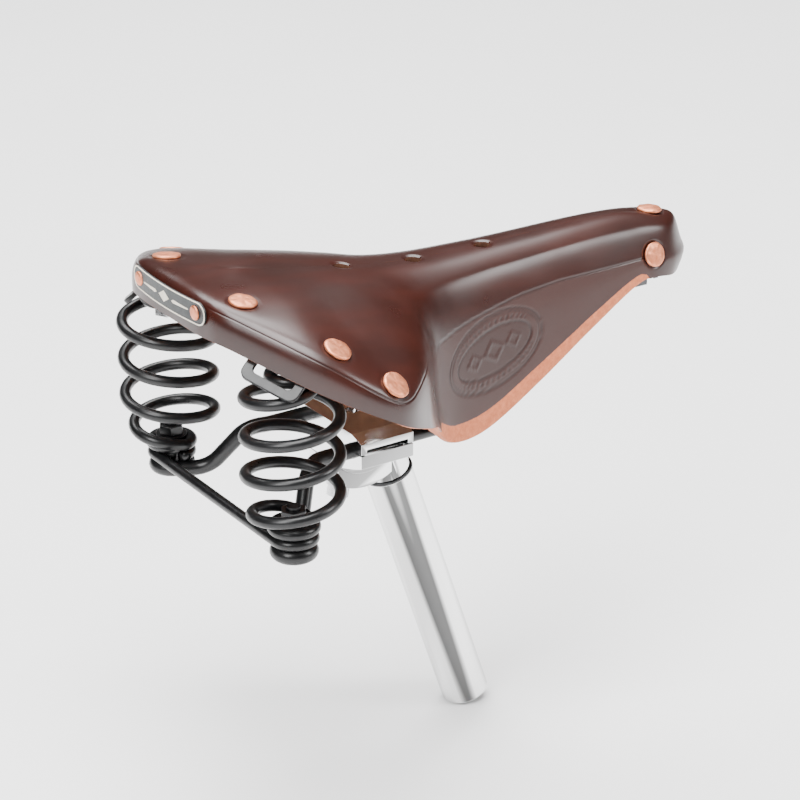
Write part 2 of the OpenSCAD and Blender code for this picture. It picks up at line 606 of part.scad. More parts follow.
at_origin() leather_top();
at_origin() cantle_plate();
at_origin() spring_bridge();
at_origin() rear_rivets();
at_origin() badge_plate();
at_origin() badge_rivets();
at_origin() bag_loop_left();
at_origin() bag_loop_right();
at_origin() top_bolts();
at_origin() top_nuts();
at_origin() nose_plate();
at_origin() nose_rivets();
at_origin() shackle();
at_origin() tension_bolt();
at_origin() tension_nut();
at_origin() rail_left();
at_origin() rail_right();
at_origin() cross_wire();
at_origin() rail_yoke();
at_origin() shackle_pin();
at_origin() spring_left();
at_origin() spring_right();
at_origin() base_bolts();
at_origin() base_washers();
at_origin() base_nuts();
at_origin() clamp_upper();
at_origin() clamp_lower();
at_origin() clamp_bolt();
at_origin() clamp_washer();
at_origin() post_head();
at_origin() post_tube();
at_origin() post_ring();
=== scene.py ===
"""Looks of the sprung leather saddle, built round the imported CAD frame.

The shapes are laid out in millimetres as in the CAD source: x = 0 at the rear of the leather and
z = 0 at the centre of the rail eyes. to_row() turns them into metres in the row frame.
"""
import json
import math

import bmesh
import bpy
import numpy as np
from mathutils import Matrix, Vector

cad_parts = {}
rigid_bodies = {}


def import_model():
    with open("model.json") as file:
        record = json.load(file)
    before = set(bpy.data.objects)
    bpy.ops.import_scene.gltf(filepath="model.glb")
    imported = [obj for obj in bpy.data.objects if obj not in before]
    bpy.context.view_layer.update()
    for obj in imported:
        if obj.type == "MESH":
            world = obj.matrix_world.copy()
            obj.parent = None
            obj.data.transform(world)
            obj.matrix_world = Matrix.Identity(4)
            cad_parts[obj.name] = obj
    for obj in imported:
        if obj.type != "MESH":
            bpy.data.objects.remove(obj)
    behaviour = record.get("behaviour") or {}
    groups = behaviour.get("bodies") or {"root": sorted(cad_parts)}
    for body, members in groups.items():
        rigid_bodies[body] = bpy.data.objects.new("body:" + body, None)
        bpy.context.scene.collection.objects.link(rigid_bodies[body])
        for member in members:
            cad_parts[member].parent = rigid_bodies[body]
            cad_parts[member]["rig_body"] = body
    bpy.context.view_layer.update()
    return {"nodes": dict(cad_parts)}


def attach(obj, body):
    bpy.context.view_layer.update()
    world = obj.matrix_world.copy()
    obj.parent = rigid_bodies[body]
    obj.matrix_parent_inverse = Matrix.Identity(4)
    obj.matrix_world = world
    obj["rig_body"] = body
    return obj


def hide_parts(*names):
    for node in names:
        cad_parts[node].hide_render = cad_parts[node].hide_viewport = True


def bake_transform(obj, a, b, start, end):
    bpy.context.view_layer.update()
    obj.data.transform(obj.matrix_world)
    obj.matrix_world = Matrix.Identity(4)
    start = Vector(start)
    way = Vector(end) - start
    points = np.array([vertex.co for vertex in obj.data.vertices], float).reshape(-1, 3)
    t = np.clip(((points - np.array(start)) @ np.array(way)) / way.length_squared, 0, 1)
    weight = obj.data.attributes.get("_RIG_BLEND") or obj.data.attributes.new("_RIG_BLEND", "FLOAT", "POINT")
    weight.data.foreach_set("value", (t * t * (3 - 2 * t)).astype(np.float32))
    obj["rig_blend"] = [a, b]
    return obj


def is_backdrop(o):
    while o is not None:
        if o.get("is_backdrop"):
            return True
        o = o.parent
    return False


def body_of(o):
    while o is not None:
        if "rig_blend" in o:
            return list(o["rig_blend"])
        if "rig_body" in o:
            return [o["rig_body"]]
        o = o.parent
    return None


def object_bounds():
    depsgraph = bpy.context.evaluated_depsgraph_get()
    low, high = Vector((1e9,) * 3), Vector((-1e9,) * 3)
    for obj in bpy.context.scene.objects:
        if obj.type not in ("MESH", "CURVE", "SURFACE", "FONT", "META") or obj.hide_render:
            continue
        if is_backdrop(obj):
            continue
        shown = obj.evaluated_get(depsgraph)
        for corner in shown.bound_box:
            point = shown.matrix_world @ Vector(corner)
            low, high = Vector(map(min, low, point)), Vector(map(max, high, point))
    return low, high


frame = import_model()


MM = 0.001

# ---------------------------------------------------------------- layout shared with the CAD source
SPRING_X, SPRING_Y = 26.9, 52.3
RAIL_Y, RAIL_Z, RAIL_R = 22.3, 22.0, 3.5
CLAMP_X = SPRING_X + 61.6
PIN_X, PIN_Z = 236.0, 62.5
POST_TILT = math.radians(19.1)
POST_DIR = np.array([math.sin(POST_TILT), 0, -math.cos(POST_TILT)])
PIVOT = np.array([CLAMP_X, 0, RAIL_Z + 2])
POST_TOP = PIVOT + [9.8, 0, 0] + 30.7 * POST_DIR
LEATHER_T = 5.5
VENTS_X = [84.7, 121.7, 158.7]
VENT_R = 3.6
REAR_RIVETS = [(2.13, 0.37), (3.33, 0.44), (4.03, 0.51)]
NOSE_RIVETS = [(14, 0.21), (12.31, 0.62), (-12.31, 0.62)]
REAR_HEAD_R, NOSE_HEAD_R = 6.1, 5.7
SIDES = (("left", 1), ("right", -1))

# Cross-sections of half the leather, from the rear centre round the wing to the nose tip:
# spine x, z | shoulder x, y, z | bottom edge x, y, z | shoulder radius, wall bulge, crown fall
SECTIONS = np.array([
    [30, 108.8, 1.0, 0.0, 110.5, 0.0, 0.0, 93.5, 4, 0.5, 0.35],
    [31, 108.7, 1.5, 24.0, 110.0, 0.3, 26.0, 93.5, 4, 0.5, 0.35],
    [34, 108.2, 6.5, 43.0, 106.5, 5.5, 43.0, 91.5, 4, 0.5, 0.35],
    [40, 106.8, 29.0, 75.5, 93.5, 28.5, 76.0, 78.0, 4, 0.5, 0.40],
    [52, 104.4, 58.0, 87.5, 76.0, 57.0, 87.5, 63.0, 4, 0.5, 0.46],
    [70, 101.4, 79.0, 75.0, 77.0, 80.0, 75.0, 51.0, 6, 0.0, 0.48],
    [88, 98.4, 94.0, 56.0, 79.0, 97.0, 57.0, 40.5, 9, -1.0, 0.42],
    [104, 95.9, 106.0, 38.0, 81.0, 107.0, 46.0, 31.0, 12, -2.0, 0.35],
    [122, 94.4, 122.0, 29.0, 83.0, 121.0, 38.0, 20.0, 14, -1.0, 0.35],
    [145, 93.8, 145.0, 24.0, 84.0, 142.0, 33.0, 20.0, 14, 0.0, 0.35],
    [175, 93.8, 175.0, 21.0, 84.5, 172.0, 28.5, 33.0, 13, 0.0, 0.35],
    [207, 94.2, 207.0, 19.0, 85.0, 206.0, 24.0, 51.0, 12, 0.0, 0.35],
    [232, 93.8, 236.0, 17.2, 84.0, 236.0, 20.0, 65.0, 10, 0.0, 0.35],
    [244, 92.0, 259.0, 14.8, 82.5, 257.0, 15.5, 63.5, 9, 1.0, 0.35],
    [248, 91.2, 271.5, 0.0, 84.0, 269.5, 0.0, 63.0, 9, 3.5, 0.30]])
LAST = len(SECTIONS) - 1


def to_row(points):
    return (np.asarray(points, float) - POST_TOP) * MM


def unit(v):
    return v / np.linalg.norm(v)


def smoothstep(a, b, x):
    f = np.clip((x - a) / (b - a), 0, 1)
    return f * f * (3 - 2 * f)


# ---------------------------------------------------------------- mesh helpers
def mesh_object(name, points, faces, materials, angle=40):
    """Mesh of points in layout millimetres, as an object in the row frame."""
    mesh = bpy.data.meshes.new(name)
    mesh.from_pydata(to_row(points).tolist(), [], faces)
    return finished(name, mesh, materials, angle)


def finished(name, mesh, materials, angle=40):
    """The mesh as a smooth-shaded object, with edges sharper than angle kept sharp."""
    mesh.update()
    for m in materials:
        mesh.materials.append(m)
    mesh.shade_smooth()
    mesh.set_sharp_from_angle(angle=math.radians(angle))
    obj = bpy.data.objects.new(name, mesh)
    bpy.context.scene.collection.objects.link(obj)
    return obj


def outward_faces(obj):
    bm = bmesh.new()
    bm.from_mesh(obj.data)
    bmesh.ops.recalc_face_normals(bm, faces=bm.faces)
    bm.to_mesh(obj.data)
    bm.free()


def tube(name, path, radius, material, sides=20):
    """Round wire with slightly rounded ends along the points of path."""
    path = np.asarray(path, float)
    tangents = np.gradient(path, axis=0)
    tangents /= np.linalg.norm(tangents, axis=1)[:, None]
    side = unit(np.cross([0, 0, 1], tangents[0]))
    rings = []
    turn = np.linspace(0, 2 * math.pi, sides, endpoint=False)
    for p, t in zip(path, tangents):
        side = unit(side - (side @ t) * t)
        up = np.cross(t, side)
        rings.append((p, t, side, up))
    ends = [(-0.5, 0.55), (-0.35, 0.85), (0, 1)]
    profile = [(0, s * radius, k) for s, k in ends[:2]]
    profile += [(i, 0, 1) for i in range(len(rings))]
    profile += [(len(rings) - 1, -s * radius, k) for s, k in reversed(ends[:2])]
    points = []
    for i, shift, k in profile:
        p, t, s, u = rings[i]
        for a in turn:
            points.append(p + shift * t + radius * k * (math.cos(a) * s + math.sin(a) * u))
    faces = []
    for i in range(len(profile) - 1):
        for k in range(sides):
            a, b = i * sides + k, i * sides + (k + 1) % sides
            faces.append((a, b, b + sides, a + sides))
    faces.append(tuple(reversed(range(sides))))
    faces.append(tuple(len(points) - sides + k for k in range(sides)))
    return mesh_object(name, points, faces, [material], angle=60)


def lathe(profile, steps, place):
    """Points and faces of a profile (radius, height) turned about Z, then moved by place(p)."""
    points, faces = [], []
    for r, h in profile:
        for k in range(steps):
            a = 2 * math.pi * k / steps
            points.append(place(np.array([r * math.cos(a), r * math.sin(a), h])))
    for i in range(len(profile) - 1):
        for k in range(steps):
            a, b = i * steps + k, i * steps + (k + 1) % steps
            faces.append((a, b, b + steps, a + steps))
    faces.append(tuple(reversed(range(steps))))
    faces.append(tuple(len(points) - steps + k for k in range(steps)))
    return points, faces


def joined(parts):
    """One list of points and one of faces from several (points, faces) pairs."""
    points, faces = [], []
    for p, f in parts:
        base = len(points)
        points += list(p)
        faces += [tuple(i + base for i in face) for face in f]
    return points, faces


SAME_POINT = 2e-6  # metres
SAME_PLANE = math.radians(0.8)


def refined(node, material, bevel, angle=32):
    """CAD node with its flat faces merged, its edges rounded, and a finish."""
    source = frame["nodes"][node]
    mesh = source.data.copy()
    mesh.materials.clear()
    bm = bmesh.new()
    bm.from_mesh(mesh)
    bmesh.ops.remove_doubles(bm, verts=bm.verts, dist=SAME_POINT)
    bmesh.ops.dissolve_limit(bm, angle_limit=SAME_PLANE, verts=bm.verts, edges=bm.edges)
    bmesh.ops.recalc_face_normals(bm, faces=bm.faces)
    bm.to_mesh(mesh)
    bm.free()
    obj = finished(node + "_finish", mesh, [material], angle=angle)
    if bevel:
        rounding = obj.modifiers.new("rounding", "BEVEL")
        rounding.width = bevel * MM
        rounding.segments = 3
        rounding.limit_method = "ANGLE"
        rounding.angle_limit = math.radians(angle)
        rounding.harden_normals = True
    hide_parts(node)
    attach(obj, body_of(source)[0])
    return obj


# ---------------------------------------------------------------- materials
def fill_ramp(ramp, stops):
    while len(ramp.elements) < len(stops):
        ramp.elements.new(0.5)
    for mark, (at, level) in zip(ramp.elements, stops):
        mark.position = at
        mark.color = (level, level, level, 1)


class Nodes:
    """A material's node tree, with short calls for the nodes that are used."""

    def __init__(self, name, color, roughness, metallic=0.0, **sockets):
        self.material = bpy.data.materials.new(name)
        self.material.use_nodes = True
        self.tree = self.material.node_tree
        self.shader = self.tree.nodes["Principled BSDF"]
        values = {"Base Color": (*color, 1), "Roughness": roughness, "Metallic": metallic, **sockets}
        for key, value in values.items():
            self.shader.inputs[key].default_value = value
        self.coords = self.tree.nodes.new("ShaderNodeTexCoord").outputs["Object"]

    def link(self, a, b):
        self.tree.links.new(a, b)

    def stretched(self, x, y, z):
        node = self.tree.nodes.new("ShaderNodeMapping")
        node.inputs["Scale"].default_value = (x, y, z)
        self.link(self.coords, node.inputs["Vector"])
        return node.outputs["Vector"]

    def noise(self, scale, detail=4.0, roughness=0.55, vector=None):
        node = self.tree.nodes.new("ShaderNodeTexNoise")
        node.inputs["Scale"].default_value = scale
        node.inputs["Detail"].default_value = detail
        node.inputs["Roughness"].default_value = roughness
        self.link(vector or self.coords, node.inputs["Vector"])
        return node.outputs["Fac"]

    def cells(self, scale, feature="F1"):
        node = self.tree.nodes.new("ShaderNodeTexVoronoi")
        node.feature = feature
        node.inputs["Scale"].default_value = scale
        self.link(self.coords, node.inputs["Vector"])
        return node.outputs["Distance"]

    def attribute(self, name):
        node = self.tree.nodes.new("ShaderNodeAttribute")
        node.attribute_name = name
        return node.outputs["Fac"]

    def spread(self, value, low, high, out_low=0.0, out_high=1.0):
        """Value moved from the range low-high to the range out_low-out_high, and kept inside it."""
        node = self.tree.nodes.new("ShaderNodeMapRange")
        node.inputs["From Min"].default_value = low
        node.inputs["From Max"].default_value = high
        node.inputs["To Min"].default_value = out_low
        node.inputs["To Max"].default_value = out_high
        self.link(value, node.inputs["Value"])
        return node.outputs["Result"]

    def math(self, operation, a, b):
        node = self.tree.nodes.new("ShaderNodeMath")
        node.operation = operation
        for socket, value in zip(node.inputs, (a, b)):
            if isinstance(value, (int, float)):
                socket.default_value = value
            else:
                self.link(value, socket)
        return node.outputs["Value"]

    def mix(self, factor, a, b):
        node = self.tree.nodes.new("ShaderNodeMix")
        node.data_type = "RGBA"
        self.link(factor, node.inputs["Factor"])
        for socket, value in zip((node.inputs[6], node.inputs[7]), (a, b)):
            if isinstance(value, tuple):
                socket.default_value = (*value, 1)
            else:
                self.link(value, socket)
        return node.outputs[2]

    def ramp(self, factor, stops):
        """Greys along a colour ramp; each stop is (position, level)."""
        node = self.tree.nodes.new("ShaderNodeValToRGB")
        fill_ramp(node.color_ramp, stops)
        self.link(factor, node.inputs["Fac"])
        return node.outputs["Color"]

    def color(self, output):
        self.link(output, self.shader.inputs["Base Color"])

    def roughness(self, output):
        self.link(output, self.shader.inputs["Roughness"])

    def bump(self, *heights):
        """Each height is (output, distance in metres)."""
        last = None
        for height, distance in heights:
            node = self.tree.nodes.new("ShaderNodeBump")
            node.inputs["Distance"].default_value = distance
            self.link(height, node.inputs["Height"])
            if last:
                self.link(last, node.inputs["Normal"])
            last = node.outputs["Normal"]
        self.link(last, self.shader.inputs["Normal"])


# How far the surface has turned away, and how bright the alloy's colour is painted there: painted reflection
# bands
PAINTED_REFLECTION_BANDS = ((0.0, 0.95), (0.16, 0.92), (0.19, 0.14), (0.23, 0.12),
               (0.28, 0.88), (0.6, 0.92), (0.8, 0.6), (0.95, 0.25))
UNDYED_DARK, UNDYED_PALE = (0.46, 0.115, 0.042), (0.64, 0.20, 0.085)


def undyed(n):
    """Colour of cut leather, from its fibres."""
    return n.mix(n.spread(n.noise(420, 6, 0.7), 0.3, 0.7), UNDYED_DARK, UNDYED_PALE)


def polished_leather():
    """Dyed and polished leather; below the line where "bare" passes 0 it is cut and left undyed."""
    n = Nodes("polished_leather", (0.05, 0.009, 0.005), 0.3, **{"Specular IOR Level": 0.55})
    clouds = n.spread(n.noise(22, 2), 0.3, 0.7)
    pull = n.spread(n.noise(45, 2, vector=n.stretched(0.35, 1.4, 1.4)), 0.45, 0.8)
    brown = n.mix(clouds, (0.018, 0.0036, 0.0020), (0.027, 0.0050, 0.0028))
    brown = n.mix(pull, brown, (0.038, 0.0070, 0.0038))
    # The flap below the seam is painted lighter and greyer: painted sheen for the light its wall reflects.
    # Its added roughness further down is its duller finish.
    flap = n.attribute("flap")
    brown = n.mix(n.math("MULTIPLY", flap, 0.6), brown, (0.044, 0.0125, 0.0085))
    # Painted shade: the leather is painted darker where the "groove" mask is set, in grooves, the emblem's
    # cuts and sunk centre, and round rivet heads.
    brown = n.mix(n.attribute("groove"), brown, (0.010, 0.0018, 0.0012))
    ragged = n.math("ADD", n.attribute("bare"), n.spread(n.noise(500, 3), 0.3, 0.7, -0.12, 0.12))
    bare = n.spread(ragged, -0.15, 0.15)
    n.color(n.mix(bare, brown, undyed(n)))
    worn = n.math("ADD", n.spread(n.noise(35, 2), 0.3, 0.75, 0.27, 0.34), n.math("MULTIPLY", flap, 0.14))
    n.roughness(n.math("MAXIMUM", worn, n.math("MULTIPLY", bare, 0.85)))
    n.bump((n.noise(60, 2), 0.00004))
    return n.material


def raw_leather():
    n = Nodes("raw_leather", (0.6, 0.24, 0.14), 0.82, **{"Sheen Weight": 0.15})
    n.color(n.mix(n.spread(n.noise(70, 3), 0.45, 0.7, 0, 0.45), undyed(n), (0.38, 0.09, 0.035)))
    n.bump((n.noise(700, 5, 0.7), 0.00015), (n.noise(220, 3), 0.00015))
    return n.material


# Walls of the punched vents, painted dark brown: painted shade inside the holes.
def punched_wall_painted_shade():
    n = Nodes("punched_wall_painted_shade", (0.045, 0.018, 0.010), 0.9, **{"Specular IOR Level": 0.15})
    n.color(n.mix(n.spread(n.noise(300, 3), 0.3, 0.7), (0.030, 0.011, 0.006), (0.065, 0.026, 0.014)))
    n.bump((n.noise(500, 3), 0.0001))
    return n.material


def suede():
    n = Nodes("suede_underside", (0.11, 0.045, 0.02), 0.9, **{"Sheen Weight": 0.25})
    nap = n.spread(n.noise(260, 6, 0.7), 0.3, 0.7)
    tone = n.mix(nap, (0.10, 0.038, 0.016), (0.19, 0.082, 0.038))
    n.color(n.mix(n.spread(n.noise(30, 3), 0.4, 0.7, 0, 0.6), tone, (0.085, 0.03, 0.013)))
    n.bump((n.noise(900, 5, 0.7), 0.0002), (n.noise(120, 3), 0.0002))
    return n.material


def hammered_copper():
    n = Nodes("hammered_copper", (0.86, 0.40, 0.25), 0.42, 0.75)
    dents = n.cells(520, "SMOOTH_F1")
    tone = n.mix(n.spread(n.noise(500, 4), 0.35, 0.7), (0.70, 0.23, 0.11), (0.84, 0.34, 0.19))
    n.color(n.mix(n.spread(dents, 0.2, 0.7, 0, 0.4), tone, (0.56, 0.15, 0.07)))
    n.roughness(n.spread(n.noise(300, 4), 0.3, 0.7, 0.34, 0.52))
    n.bump((dents, 0.00012), (n.noise(1600, 3), 0.00002))
    return n.material


def black_powder_coat():
    n = Nodes("black_powder_coat", (0.012, 0.012, 0.013), 0.3, **{"Specular IOR Level": 0.42})
    n.color(n.mix(n.spread(n.noise(120, 4), 0.4, 0.7), (0.005, 0.005, 0.0055), (0.009, 0.009, 0.0095)))
    n.roughness(n.spread(n.noise(260, 4), 0.3, 0.7, 0.27, 0.35))
    n.bump((n.noise(700, 2), 0.000015))
    return n.material


def pressed_steel():
    n = Nodes("pressed_steel", (0.10, 0.10, 0.105), 0.42, 0.85)
    n.color(n.mix(n.spread(n.noise(80, 5), 0.4, 0.7), (0.07, 0.07, 0.073), (0.13, 0.13, 0.135)))
    n.roughness(n.spread(n.noise(200, 5), 0.3, 0.7, 0.34, 0.55))
    n.bump((n.noise(900, 4), 0.00004))
    return n.material


def bright_steel():
    n = Nodes("bright_steel", (0.62, 0.62, 0.63), 0.25, 1.0)
    n.color(n.mix(n.spread(n.noise(150, 4), 0.4, 0.7), (0.55, 0.55, 0.56), (0.70, 0.70, 0.71)))
    n.roughness(n.spread(n.noise(400, 4), 0.3, 0.7, 0.18, 0.33))
    n.bump((n.noise(1500, 3), 0.00002))
    return n.material


def polished_alloy():
    """Mirror-bright alloy, with grey bands painted into its colour as the surface turns away: painted
    reflection.
    """
    n = Nodes("polished_alloy", (0.80, 0.80, 0.82), 0.1, 1.0)
    turn = n.tree.nodes.new("ShaderNodeLayerWeight")
    turn.inputs["Blend"].default_value = 0.5
    # Painted reflection: the base colour is darkened in bands by facing angle, standing in for reflected dark
    # surroundings.
    n.color(n.ramp(turn.outputs["Facing"], PAINTED_REFLECTION_BANDS))
    n.roughness(n.spread(n.noise(140, 5), 0.3, 0.7, 0.06, 0.14))
    n.bump((n.noise(500, 3, vector=n.stretched(1, 1, 0.1)), 0.00001))
    return n.material


def enamel(name, low, high, roughness):
    n = Nodes(name, low, roughness)
    n.color(n.mix(n.spread(n.noise(300, 4), 0.4, 0.7), low, high))
    n.roughness(n.spread(n.noise(500, 3), 0.3, 0.7, roughness - 0.05, roughness + 0.06))
    n.bump((n.noise(1200, 3), 0.00003))
    return n.material


LEATHER = polished_leather()
RAW = raw_leather()
SUEDE = suede()
PUNCHED = punched_wall_painted_shade()
COPPER = hammered_copper()
BLACK = black_powder_coat()
PRESSED = pressed_steel()
BRIGHT = bright_steel()
ALLOY = polished_alloy()
BADGE_DARK = enamel("badge_enamel", (0.018, 0.021, 0.022), (0.028, 0.032, 0.034), 0.42)
BADGE_CREAM = enamel("badge_cream", (0.72, 0.66, 0.54), (0.82, 0.77, 0.66), 0.42)
RING_BLACK = enamel("ring_rubber", (0.02, 0.021, 0.022), (0.032, 0.033, 0.035), 0.5)


# ---------------------------------------------------------------- leather surface
def section_at(i):
    """Row i of the section table; the other half of the ring mirrors it."""
    i %= 2 * LAST
    mirrored = i > LAST
    row = SECTIONS[2 * LAST - i if mirrored else i].copy()
    if mirrored:
        row[[3, 6]] *= -1
    return row


def station(u):
    """Section at any station u, on a smooth curve through the rows of the table."""
    i = math.floor(u)
    f = u - i
    a, b, c, d = (section_at(i + k) for k in (-1, 0, 1, 2))
    square = 2 * a - 5 * b + 4 * c - d
    cube = 3 * b - a - 3 * c + d
    return 0.5 * (2 * b + (c - a) * f + square * f * f + cube * f**3)


def outward(u):
    """Level direction that points away from the leather's bottom edge."""
    x, y = (station(u + 0.05) - station(u - 0.05))[5:7]
    return unit(np.array([-y, x, 0]))


def controls(u, depth):
    """Control points of one cross-section, moved inwards by depth."""
    r = station(u)
    o = outward(u)
    spine = np.array([r[0], 0, r[1]])
    shoulder, edge = r[2:5], r[5:8] - depth * o
    d = shoulder - spine
    c = spine - [0, 0, depth]
    c1 = c + [0.35 * d[0], 0.35 * d[1], 0]
    c2 = c + [0.72 * d[0], 0.72 * d[1], r[10] * d[2]] - 0.25 * depth * o
    s = shoulder - depth * o - [0, 0, 0.85 * depth]
    radius = max(r[8] - depth, 2)
    crown_r = min(radius, 0.6 * np.linalg.norm(c2 - s))
    high, low = s + crown_r * unit(c2 - s), s + radius * unit(edge - s)
    wall = s + 0.6 * (edge - s) + r[9] * o
    return np.array([c, c, c, c1, c2, high, low, wall, edge, edge, edge])


def spline_weights(ts):
    """Weights of the 11 control points for each fraction t from the spine to the edge."""
    weights = np.zeros((len(ts), 11))
    for i, t in enumerate(ts):
        k = min(int(t * 8), 7)
        f = t * 8 - k
        g = 1 - f
        weights[i, k:k + 4] = [g**3, 3 * f**3 - 6 * f * f + 4, 3 * f * f - 3 * f**3 + 3 * f + 1, f**3]
    return weights / 6


def surface(u, t, depth=0.0):
    return (spline_weights([t]) @ controls(u, depth))[0]


INSIDE = [PIN_X / 2, 0, 40]  # a point in the hollow of the leather


def normal_at(u, t, step=0.01):
    along = surface(u + step, t) - surface(u - step, t)
    down = surface(u, t + step) - surface(u, t - step)
    n = unit(np.cross(along, down))
    return n if n @ (surface(u, t) - INSIDE) > 0 else -n


# Features of the leather: stations u round the edge, fractions t from the spine down.
# A span is (start, full, fade, end): the stations where a feature starts, is full, fades and ends.
SEAM_SPAN = (7.05, 7.55, 12.05, 12.55)
CREASE_SPAN = (0.9, 1.9, 5.0, 5.8)
EMBLEM_SPAN = (7.3, 7.6, 10.4, 10.7)
SEAM = ([7.2, 7.5, 8.0, 8.55, 9.2, 9.7, 10.4, 11.15, 12.0, 12.3],
        [0.66, 0.633, 0.623, 0.613, 0.603, 0.594, 0.594, 0.61, 0.63, 0.635])
STRIP = ([6.75, 6.85, 7.0, 7.5, 8.1, 9.2, 10.0, 10.6, 11.2, 11.7, 11.95, 12.1, 12.18, 12.2],
         [1.0, 0.9, 0.86, 0.85, 0.843, 0.835, 0.825, 0.82, 0.81, 0.8, 0.8, 0.84, 0.93, 1.0])
RAW_EDGE = 0.974  # round the rear, the leather is undyed below this
CREASE = ([0.0, 1.0, 2.0, 2.5, 3.0, 3.4, 4.0, 4.5, 5.2, 5.8],
          [0.60, 0.60, 0.575, 0.575, 0.59, 0.60, 0.63, 0.59, 0.575, 0.57])
CHAMFER = 1.7  # depth of the cut along the flap's edge
# SHADE_W is the width of the painted shade along grooves and round rivet heads.
GROOVE_W, SHADE_W = 0.42, 0.45
SEAT_DEPTH, SEAT_RIM = 0.3, 1.6  # dimple under a rivet head
VENT_DIP, VENT_LIP = 0.75, 1.7  # dimple round a vent

EMBLEM_X, EMBLEM_Z, EMBLEM_TILT = 146.6, 54.2, math.radians(13)
EMBLEM_A, EMBLEM_B = 28.5, 15.9
EMBLEM_TOP = 0.56
# Rings of the emblem, as shares of its half length and half height
OUTER_RING, SECOND_RING, INNER_RING, RAY_RING = (1, 1), (0.945, 0.915), (0.79, 0.62), (0.87, 0.77)
RAYS = 46
LOZENGES = ((-12, 3.8), (0, 5.2), (12, 3.8))  # place along the oval, half height
LOZENGE_STRETCH = 1.25


def groove(distance, width):
    """1 in the middle of a groove, 0 outside it."""
    return np.exp(-(distance / width) ** 2)


def within(span, value):
    """1 from full to fade, falling to 0 at the span's start and end."""
    start, full, fade, end = span
    return smoothstep(start, full, value) * smoothstep(end, fade, value)


def emblem_relief(points):
    """Height in mm, and depth as a mask, of an oval of rings, short rays and three lozenges."""
    x, z = points[..., 0] - EMBLEM_X, points[..., 2] - EMBLEM_Z
    c, s = math.cos(EMBLEM_TILT), math.sin(EMBLEM_TILT)
    p, q = x * c + z * s, z * c - x * s

    def beyond(shares):
        """Distance in mm outside a ring."""
        r = np.hypot(p / (EMBLEM_A * shares[0]), q / (EMBLEM_B * shares[1]))
        return (r - 1) * np.hypot(p, q) / np.maximum(r, 0.05)

    inner, second = beyond(INNER_RING), beyond(SECOND_RING)
    cut = np.maximum(groove(beyond(OUTER_RING), 0.5), 0.8 * groove(second, GROOVE_W))
    cut = np.maximum(cut, groove(inner, 0.5))
    sunk = smoothstep(0.6, -0.6, inner)
    angle = np.arctan2(q / (EMBLEM_B * RAY_RING[1]), p / (EMBLEM_A * RAY_RING[0]))
    rays = smoothstep(0.45, 0.8, 0.5 + 0.5 * np.cos(angle * RAYS))
    band = smoothstep(1.2, 2.0, inner) * smoothstep(-1.2, -2.0, second)
    arcs = smoothstep(0.35, 0.6, np.abs(np.sin(angle)))
    cut = np.maximum(cut, 0.65 * band * arcs * rays)
    height = -0.34 * cut - 0.28 * sunk
    for shift, size in LOZENGES:
        away = np.abs(p - shift) / (LOZENGE_STRETCH * size) + np.abs(q) / size
        height += 0.3 * smoothstep(1.1, 0.95, away) * sunk
        height -= 0.25 * smoothstep(0.68, 0.56, away) * sunk
    return height, np.clip(cut + 0.35 * sunk, 0, 1)


def wrinkles(points):
    """Slow waves of hand-shaped leather, in mm."""
    x, y, z = (points[..., k] for k in range(3))
    wave = np.sin(x / 11 + 1.3 * np.sin(y / 17)) * np.sin(y / 9 + 0.7 * np.sin(z / 13))
    wave += 0.6 * np.sin(x / 5.3 + y / 7.1) * np.sin(z / 6.1 + y / 9.7 + 1.1)
    return 0.035 * wave


def leather_stations():
    """Stations round the ring, closer together where the emblem is."""
    fine = 26
    half = []
    for i in range(LAST):
        steps = 2 * fine if 7 <= i < 10 else fine
        half += [i + k / steps for k in range(steps)]
    half.append(float(LAST))
    return np.array(half + [-u for u in reversed(half[1:-1])])


def sheet(us, ts, depth):
    """Points of the leather for each station and fraction, moved inwards by depth."""
    weights = spline_weights(ts)
    return np.array([weights @ controls(u, depth) for u in us])


def sheet_normals(points):
    """Unit normals out of the leather; they point straight up along the spine."""
    along = np.roll(points, -1, axis=0) - np.roll(points, 1, axis=0)
    normals = np.cross(np.gradient(points, axis=1), along)
    lengths = np.linalg.norm(normals, axis=2, keepdims=True)
    up = [0, 0, 1]
    normals = np.where(lengths > 1e-9, normals / np.maximum(lengths, 1e-9), up)
    normals[:, 0] = up
    if normals[normals.shape[0] // 4, normals.shape[1] // 4, 2] < 0:
        normals[:, 1:] *= -1
    return normals


def rivet_seats():
    """Centre, head radius and depth of the dimple under each large rivet."""
    seats = []
    for u, t in REAR_RIVETS:
        seats += [(surface(u, t) * [1, sign, 1], REAR_HEAD_R, SEAT_DEPTH) for _, sign in SIDES]
    for u, t in NOSE_RIVETS:
        seats.append((surface(u, t), NOSE_HEAD_R, 2 * SEAT_DEPTH))
    return seats


